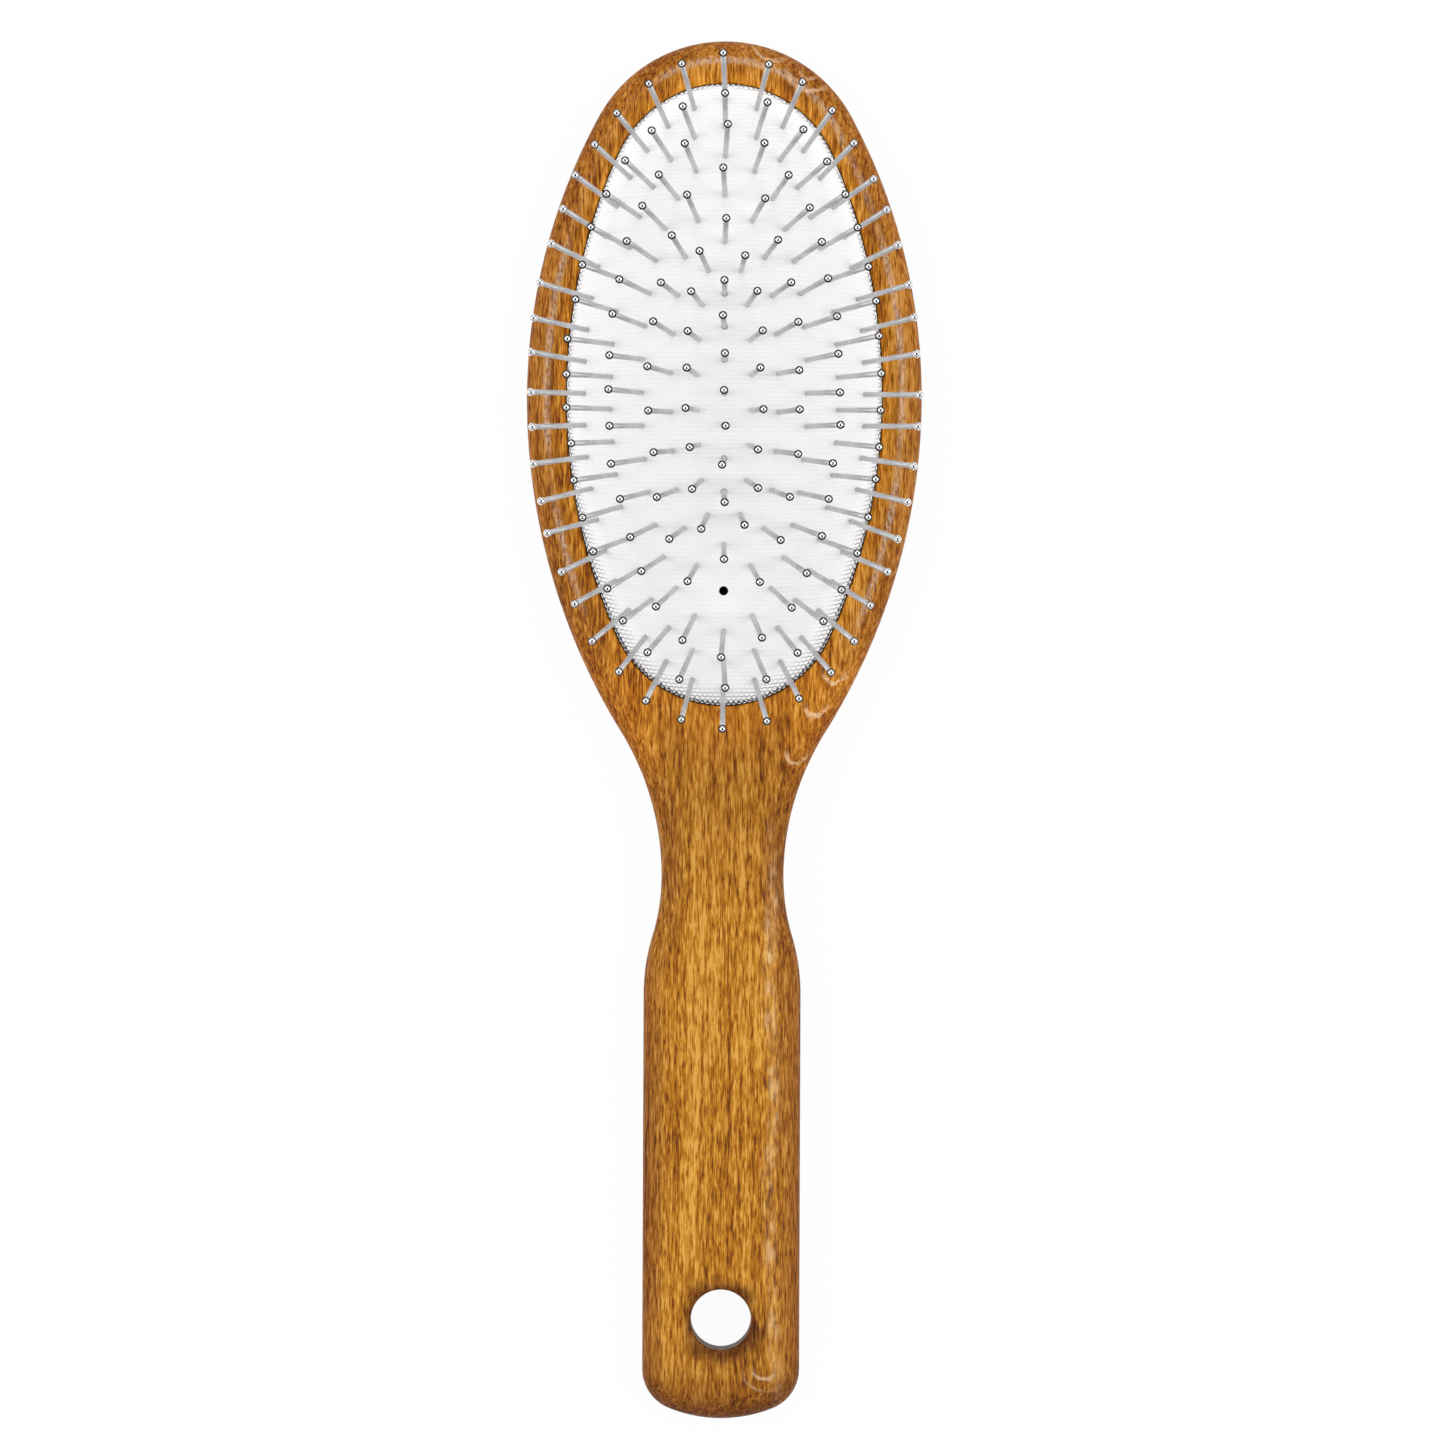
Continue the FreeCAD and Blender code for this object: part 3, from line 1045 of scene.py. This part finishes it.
@dataclass
class Cushion:
    """The domed rubber wall with its knitted facing, edge bead and vent."""

    edge: Oval = Oval(26.0, 51.25, 19.2, CUSHION_Y)
    rest_z: float = 12.5
    rise: float = 10.3
    wall: float = 1.3
    lining_drop: float = 1.25
    facing_bottom: float = 10.0
    turned_down: float = 2.4
    shoulder: float = 1.1
    shoulder_reach: float = 1.1
    shoulder_fade: float = 20.0
    dimple: float = 0.10
    dimple_radius: float = 0.9
    bead_bottom: float = 6.15
    bead_top: float = 7.85
    bead_reach: float = 1.4
    vent_radius: float = 0.75
    vent_step: float = 0.2
    vent_share: float = 0.634
    vent_cut: Tuple[float, float] = (12.0, 26.0)
    rings: int = 88
    inner_rings: int = 12
    crowding: float = 1.25
    step: float = 0.55

    def arch_radius(self, half_span: float) -> float:
        """Radius of the arch over half a span that rises to the dome's top."""
        return (half_span**2 + self.rise**2) / (2 * self.rise)

    def dome(self, xy: Array) -> Array:
        """Height of the plain dome, an arch across swung along a longer one.

        Args:
            xy: Points' x and y, in rows.

        Returns:
            Their heights.
        """
        across = self.arch_radius(self.edge.half_width)
        along = self.arch_radius(self.edge.half_length)
        reach = along - across + np.sqrt(across**2 - xy[..., 0] ** 2)
        rise = np.sqrt(reach**2 - (xy[..., 1] - self.edge.centre_y) ** 2)
        return self.rest_z + self.rise - along + rise

    def height(self, xy: Array) -> Array:
        """Height of the facing, with the full shoulder that it has near its edge.

        Args:
            xy: Points' x and y, in rows.

        Returns:
            Their heights.
        """
        depth = self.edge.depth(xy)
        swell = (1 - np.exp(-depth / self.shoulder_reach)) * np.exp(-depth / self.shoulder_fade)
        return self.dome(xy) + self.shoulder * swell

    def normal(self, x: float, y: float) -> Array:
        """The plain dome's outward direction over a point.

        Args:
            x: The point's x.
            y: The point's y, from the cushion's middle.

        Returns:
            A direction of length 1.
        """
        across = self.arch_radius(self.edge.half_width)
        along = self.arch_radius(self.edge.half_length)
        reach = along - across + math.sqrt(across**2 - x**2)
        rise = math.sqrt(reach**2 - y**2)
        point = np.array([x, y, rise])
        core = np.array([0.0, y, rise]) * ((along - across) / reach)
        return (point - core) / np.linalg.norm(point - core)

    def stand(self, x: float, y: float, splay: float = 1.0) -> Foot:
        """Set a pin on the dome.

        Args:
            x: The pin's x on the plain dome.
            y: Its y, from the cushion's middle.
            splay: How much more it leans along the brush.

        Returns:
            The pin's foot, on the plain dome.
        """
        axis = self.normal(x, y) * np.array([1.0, splay, 1.0])
        axis /= np.linalg.norm(axis)
        place = (x, y + self.edge.centre_y)
        return Foot((*place, float(self.dome(np.array(place)))), tuple(axis))

    def build(self, knit: Material, rubber: Material, feet: Sequence[Foot]) -> Object:
        """Build the cushion and dress it.

        Args:
            knit: The facing.
            rubber: The wall's own material.
            feet: The pins, each of which draws the facing in a little.

        Returns:
            The cushion's object.
        """
        shell = Shell("knit_cushion", "near_edge")
        edge = self.edge.outline(self.step)
        middle = np.array([0.0, self.edge.centre_y])
        spokes = edge[:, :2] - middle
        places = np.array([foot.place[:2] for foot in feet])
        layers, lengths = [], []
        walked, last = np.zeros(len(edge)), np.array([*middle, self.rest_z + self.rise])
        for share in 1 - (1 - np.linspace(0.0, 1.0, self.rings + 1)[1:]) ** self.crowding:
            xy = middle + spokes * share
            near = ((xy[:, None, :] - places[None]) ** 2).sum(2)
            dimples = self.dimple * np.exp(-near / self.dimple_radius**2).sum(1)
            z = self.height(xy) - dimples
            here = np.column_stack([xy, z])
            walked = walked + np.linalg.norm(here - last, axis=1)
            last = here
            depth = np.minimum(self.edge.depth(xy), EDGE_BAND)
            layers.append(shell.ring(xy, z, 1 - depth / EDGE_BAND))
            lengths.append(walked)
        wall = [shell.ring(edge[:, :2], z, 1.0) for z in (self.facing_bottom, self.bead_top)]
        grown = offset(edge, self.bead_reach)
        bead = [shell.ring(grown, z, 1.0) for z in (self.bead_top, self.bead_bottom)]
        shrunk = offset(edge, -self.wall)
        inner = [shell.ring(shrunk, self.bead_bottom, 1.0)]
        drop = self.lining_drop * self.wall
        for share in np.linspace(1.0, 0.0, self.inner_rings + 1)[:-1]:
            xy = middle + (shrunk - middle) * share
            inner.append(shell.ring(xy, self.dome(xy) - drop, 0.0))
        crown = float(self.height(middle))
        shell.bridge(layers + wall[:1])
        shell.bridge(wall + bead + inner, finish=1)
        shell.cap(layers[0], (*middle, crown), 0.0)
        shell.cap(inner[-1], (*middle, crown - drop), 0.0, finish=1)
        cushion = shell.build(knit, rubber)
        self.lay_facing(cushion.data, layers, wall[0], lengths, spokes)
        self.pierce(cushion, rubber)
        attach(cushion, "root")
        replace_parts(cushion, "cushion")
        return cushion

    def lay_facing(
        self, mesh: bpy.types.Mesh, layers: List[List[int]], wall: List[int],
        lengths: List[Array], spokes: Array,
    ) -> None:
        """Give the facing flat coordinates in millimetres that keep their length at its edge.

        Args:
            mesh: The cushion's mesh.
            layers: The facing's rings of points, from the middle out.
            wall: The ring of points below its edge.
            lengths: How far along the facing each ring is from the middle.
            spokes: The way from the middle to each point of the edge.
        """
        ways = spokes / np.linalg.norm(spokes, axis=1)[:, None]
        flat = np.zeros((len(mesh.vertices), 2))
        for ring, length in zip(layers, lengths):
            flat[ring] = ways * length[:, None]
        flat[wall] = ways * (lengths[-1] + self.turned_down)[:, None]
        corners = np.zeros(len(mesh.loops), np.int32)
        mesh.loops.foreach_get("vertex_index", corners)
        mesh.uv_layers.new(name="facing").data.foreach_set("uv", flat[corners].ravel())

    def pierce(self, cushion: Object, rubber: Material) -> None:
        """Cut the vent through the wall.

        Args:
            cushion: The cushion's object.
            rubber: The material of the vent's wall.
        """
        punch = Shell("punch", "near_edge")
        y = self.edge.centre_y - self.vent_share * self.edge.half_length
        circle = np.array(Arc(0.0, y, self.vent_radius, 0.0, TURN).walk(self.vent_step))
        rings = [punch.ring(circle[:, :2], z, 1.0) for z in self.vent_cut]
        punch.bridge(rings)
        for ring, z in zip(rings, self.vent_cut):
            punch.cap(ring, (0.0, y, z), 1.0)
        tool = punch.build(rubber)
        cut = cushion.modifiers.new("vent", "BOOLEAN")
        cut.operation, cut.solver, cut.object = "DIFFERENCE", "EXACT", tool
        cut.material_mode = "TRANSFER"
        settle(cushion)
        bpy.data.objects.remove(tool)


@dataclass
class PinRow:
    """One row of pins: how many, on which share of the cushion, and the solids it replaces."""

    node: str
    count: int
    across: float
    along: float
    splay: float = 1.0
    skip: Optional[int] = None


@dataclass
class Pins:
    """Round steel wires with ball tips, set out on ovals and one centre row."""

    cushion: Cushion
    length: float = 15.0
    wire_radius: float = 0.44
    ball_radius: float = 0.70
    lip_radius: float = 0.56
    lip_height: float = 0.55
    head_radius: float = 1.0
    head_thickness: float = 0.5
    below: float = 1.75
    lean: float = 0.030
    lip_shade: float = 0.26
    round_sides: int = 12
    head_sides: int = 8
    ball_rings: int = 8
    centre_pitch: float = 5.42
    trace_steps: int = 4000
    first_seed: int = 3
    rows: List[PinRow] = field(default_factory=lambda: [
        PinRow("pins_centre_row", 7, 0.0, 0.0),
        PinRow("pins_oval_1", 18, 0.173, 0.484),
        PinRow("pins_oval_2", 22, 0.340, 0.634, skip=11),
        PinRow("pins_oval_3", 32, 0.519, 0.759),
        PinRow("pins_oval_4", 38, 0.710, 0.853),
        PinRow("pins_oval_5", 44, 0.877, 0.935, splay=1.45),
    ])

    def feet(self, row: PinRow) -> List[Foot]:
        """Set out one row.

        Args:
            row: The row.

        Returns:
            Its pins' feet.
        """
        stand, edge = self.cushion.stand, self.cushion.edge
        if row.across == 0.0:
            middle = (row.count - 1) / 2
            return [stand(0.0, self.centre_pitch * (k - middle)) for k in range(row.count)]
        turn = np.linspace(0.0, TURN, self.trace_steps + 1)
        x = row.across * edge.half_width * np.sin(turn)
        y = row.along * edge.half_length * np.cos(turn)
        walked = np.concatenate([[0.0], np.cumsum(np.hypot(np.diff(x), np.diff(y)))])
        stations = np.linspace(0.0, walked[-1], row.count, endpoint=False)
        kept = [s for k, s in enumerate(stations) if k != row.skip]
        return [stand(np.interp(s, walked, x), np.interp(s, walked, y), row.splay) for s in kept]

    def growth(self, wire: Material, ball: Material) -> Growth:
        """Build the tree that stands a pin on every point of a mesh.

        Args:
            wire: The wires' steel.
            ball: The balls' steel.

        Returns:
            The tree, whose inputs are the pin's sizes in metres, its lean and a seed.
        """
        grow = Growth(
            "pins_on_points", "Length", "Wire Radius", "Ball Radius", "Lip Radius", "Lip Height",
            "Head Radius", "Head Height", "Below", "Lean", "Seed",
        )
        given = grow.given
        tall = grow.plus(given["Length"], given["Below"])
        low = grow.times(given["Below"], -1.0)
        shaft = grow.rod(self.round_sides, given["Wire Radius"], tall, low)
        low = grow.times(given["Lip Height"], -0.5)
        lip = grow.rod(self.round_sides, given["Lip Radius"], given["Lip Height"], low)
        # Painted shade: the lip at the pin's foot is marked partly dark
        lip = grow.mark(lip, "painted_dark", self.lip_shade)
        low = grow.times(grow.plus(given["Below"], given["Head Height"]), -1.0)
        head = grow.rod(self.head_sides, given["Head Radius"], given["Head Height"], low)
        tip = grow.ball(self.round_sides, self.ball_rings, given["Ball Radius"])
        tip = grow.mark(grow.move(tip, "Translation", 0.0, 0.0, given["Length"]), "polished", True)
        pin = grow.add("GeometryNodeJoinGeometry")
        for part in (shaft, lip, head, tip):
            grow.feed(pin.inputs[0], part)

        vector = {"data_type": "FLOAT_VECTOR"}
        axis = grow.out("GeometryNodeInputNamedAttribute", {"Name": "axis"}, **vector)
        inputs = {0: (-1.0, -1.0, 0.0), 1: (1.0, 1.0, 0.0), "Seed": given["Seed"]}
        inputs = {0: grow.out("FunctionNodeRandomValue", inputs, **vector), "Scale": given["Lean"]}
        stray = grow.out("ShaderNodeVectorMath", inputs, operation="SCALE")
        axis = grow.vector("ADD", axis, stray)
        made = grow.strew(pin.outputs[0], given["Geometry"], axis)
        name = {"Name": "polished"}
        polished = grow.out("GeometryNodeInputNamedAttribute", name, data_type="BOOLEAN")
        # Painted reflection: a dark band runs round each ball's upper half, set by which way its
        # faces look, faintest on the pins that lean most
        _, _, facing_up = grow.split(grow.out("GeometryNodeInputNormal"))
        _, _, upright = grow.split(axis)
        side = grow.times(grow.minus(1.0, facing_up), grow.remap(upright, 0.80, 0.90, 0.30, 1.0))
        made = grow.dress(grow.mark(made, "painted_dark", side, Selection=polished), wire)
        grow.add("NodeGroupOutput", {0: grow.dress(made, ball, Selection=polished)})
        return grow

    def build(self, wire: Material, ball: Material) -> List[Object]:
        """Build every row of pins and dress it.

        Args:
            wire: The wires' steel.
            ball: The balls' steel.

        Returns:
            One object for each row.
        """
        growth = self.growth(wire, ball)
        lengths = (
            self.length, self.wire_radius, self.ball_radius, self.lip_radius,
            self.lip_height, self.head_radius, self.head_thickness, self.below,
        )
        made = []
        for seed, row in enumerate(self.rows, start=self.first_seed):
            feet = self.feet(row)
            mesh = new_mesh(row.node, [foot.place for foot in feet])
            axes = mesh.attributes.new("axis", "FLOAT_VECTOR", "POINT")
            directions = np.array([foot.axis for foot in feet], np.float32)
            axes.data.foreach_set("vector", directions.ravel())
            pins = new_object("steel_" + row.node, mesh)
            growth.run(pins, [MM * length for length in lengths] + [self.lean, seed])
            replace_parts(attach(pins, "root"), row.node)
            made.append(pins)
        return made


@dataclass
class EdgeStitches:
    """The row of loops where the facing turns down into the pocket."""

    cushion: Cushion
    pitch: float = 0.88
    length: float = 0.52
    width: float = 0.20
    sink: float = 0.04
    line_step: float = 0.5
    loop_sides: int = 8
    loop_rings: int = 5

    def growth(self, yarn: Material) -> Growth:
        """Build the tree that sets a loop at every pitch along a line.

        Args:
            yarn: The loops' material.

        Returns:
            The tree, whose inputs are the pitch and a loop's length and width in metres.
        """
        grow = Growth("stitches_on_line", "Pitch", "Loop Length", "Loop Width")
        given, width = grow.given, grow.given["Loop Width"]
        line = grow.out("GeometryNodeMeshToCurve", {"Mesh": given["Geometry"]})
        inputs = {"Curve": line, "Length": given["Pitch"]}
        spaced = grow.out("GeometryNodeResampleCurve", inputs, mode="LENGTH")
        loop = grow.ball(self.loop_sides, self.loop_rings, 0.5)
        loop = grow.move(loop, "Scale", width, width, given["Loop Length"])
        sewn = grow.strew(loop, spaced, grow.out("GeometryNodeInputTangent"))
        grow.add("NodeGroupOutput", {0: grow.dress(sewn, yarn)})
        return grow

    def build(self, yarn: Material) -> Object:
        """Build the stitches and dress them.

        Args:
            yarn: Their material.

        Returns:
            The stitches' object.
        """
        xy = offset(self.cushion.edge.outline(self.line_step), -self.width / 2)
        z = self.cushion.height(xy) - self.sink
        line = [(k, (k + 1) % len(xy)) for k in range(len(xy))]
        mesh = new_mesh("edge_stitches", np.column_stack([xy, z]), line)
        stitches = new_object("edge_stitches", mesh)
        sizes = (self.pitch, self.length, self.width)
        self.growth(yarn).run(stitches, [MM * size for size in sizes])
        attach(stitches, "root")
        return stitches


@dataclass
class Studio:
    """A pale floor, soft light from three sides, and a camera straight above."""

    frame_width: float = 239.3
    frame_plane_z: float = 8.0
    camera_height: float = 1600.0
    aim: Tuple[float, float] = (-0.1, 1.2)
    roll: float = math.radians(0.22)
    sensor: float = 36.0
    floor_half: float = 2000.0
    floor_z: float = -0.3
    floor_glow: float = 0.96
    sky: float = 0.85
    lamp_power: float = 8.0
    lamp_size: Tuple[float, float] = (0.9, 1.6)
    lamps: Tuple[Tuple[Point, float], ...] = (
        ((-1.25, 0.10, 1.05), 1.0), ((1.25, 0.10, 1.05), 1.0), ((0.0, 1.30, 0.95), 0.45),
    )
    dark: Colour = (0.03, 0.03, 0.035, 1.0)
    white: Colour = (1.0, 1.0, 1.0, 1.0)
    floor: Colour = (0.9, 0.9, 0.9, 1.0)

    def add_camera(self) -> None:
        """Add the camera, with the photograph's frame."""
        lens = self.sensor * (self.camera_height - self.frame_plane_z) / self.frame_width
        data = bpy.data.cameras.new("camera")
        data.lens, data.sensor_width = lens, self.sensor
        data.clip_start, data.clip_end = 0.1, 20.0
        camera = new_object("camera", data)
        camera.location = (MM * self.aim[0], MM * self.aim[1], MM * self.camera_height)
        camera.rotation_euler = (0.0, 0.0, self.roll)
        bpy.context.scene.camera = camera

    def add_lamps(self) -> None:
        """Add a soft lamp on each side and a weaker one beyond the head."""
        for number, (place, share) in enumerate(self.lamps):
            data = bpy.data.lights.new(f"softbox_{number}", "AREA")
            data.shape = "RECTANGLE"
            data.size, data.size_y = self.lamp_size
            data.energy = self.lamp_power * share
            lamp = new_object(data.name, data)
            lamp.location = place
            lamp.rotation_euler = (-Vector(place)).to_track_quat("-Z", "Y").to_euler()

    def add_world(self) -> None:
        """Add a white tent, even for soft light and with dark bands in what steel mirrors."""
        world = bpy.data.worlds.new("tent")
        world.use_nodes = True
        world.node_tree.nodes.clear()
        bpy.context.scene.world = world
        graph = Graph(world.node_tree)
        _, _, up = graph.split(graph.add("ShaderNodeTexCoord").outputs["Generated"])
        path = graph.add("ShaderNodeLightPath").outputs
        seen = graph.larger(path["Is Camera Ray"], path["Is Transmission Ray"])
        tent = graph.ramp(graph.math("MULTIPLY_ADD", up, 0.5, 0.5), [
            (0.0, self.white), (0.44, self.white), (0.50, self.dark), (0.66, self.dark),
            (0.72, self.white), (0.850, self.white), (0.866, self.dark),
        ])
        colour = graph.blend(path["Is Glossy Ray"], (self.sky, self.sky, self.sky, 1.0), tent)
        inputs = {"Color": graph.blend(seen, colour, self.white), "Strength": 1.0}
        graph.add("ShaderNodeOutputWorld", {0: graph.out("ShaderNodeBackground", inputs)})

    def add_floor(self) -> None:
        """Add the floor, white to the camera but for a soft shadow."""
        far, z = self.floor_half, self.floor_z
        corners = [(-far, -far, z), (far, -far, z), (far, far, z), (-far, far, z)]
        mesh = new_mesh("floor", corners, faces=[(0, 1, 2, 3)])
        floor = new_object("floor", mesh)
        paint = Paint("pale_floor")
        mesh.materials.append(paint.finish({"Base Color": self.floor, "Roughness": 0.9}))
        glow = paint.out("ShaderNodeEmission", {"Color": self.white, "Strength": 1.0})
        path = paint.add("ShaderNodeLightPath").outputs
        seen = paint.larger(path["Is Camera Ray"], path["Is Glossy Ray"])
        seen = paint.larger(seen, path["Is Transmission Ray"])
        inputs = {0: paint.times(seen, self.floor_glow), 1: paint.shader.outputs[0], 2: glow}
        mix = paint.out("ShaderNodeMixShader", inputs)
        paint.feed(paint.tree.nodes["Material Output"].inputs[0], mix)

    def build(self) -> None:
        """Build the studio."""
        self.add_camera()
        self.add_lamps()
        self.add_world()
        self.add_floor()
        bpy.context.scene.view_settings.view_transform = "Standard"


def main() -> None:
    """Build the studio and the brush."""
    logging.basicConfig(level=logging.INFO, format="%(name)s: %(message)s")
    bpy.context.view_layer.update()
    Studio().build()
    body = WoodenBody()
    cushion = Cushion()
    pins = Pins(cushion)
    knit = Knit().material()
    wire, ball = WIRE_STEEL.material(), BALL_STEEL.material()
    made = [body.build(StainedBeech(body.hole_y, body.hole_radius).material())]
    feet = [foot for row in pins.rows for foot in pins.feet(row)]
    made.append(cushion.build(knit, Rubber().material(), feet))
    made.append(EdgeStitches(cushion).build(knit))
    made += pins.build(wire, ball)
    for piece in made:
        LOG.info("%s: %d faces", piece.name, len(piece.data.polygons))


if __name__ == "__main__":
    main()
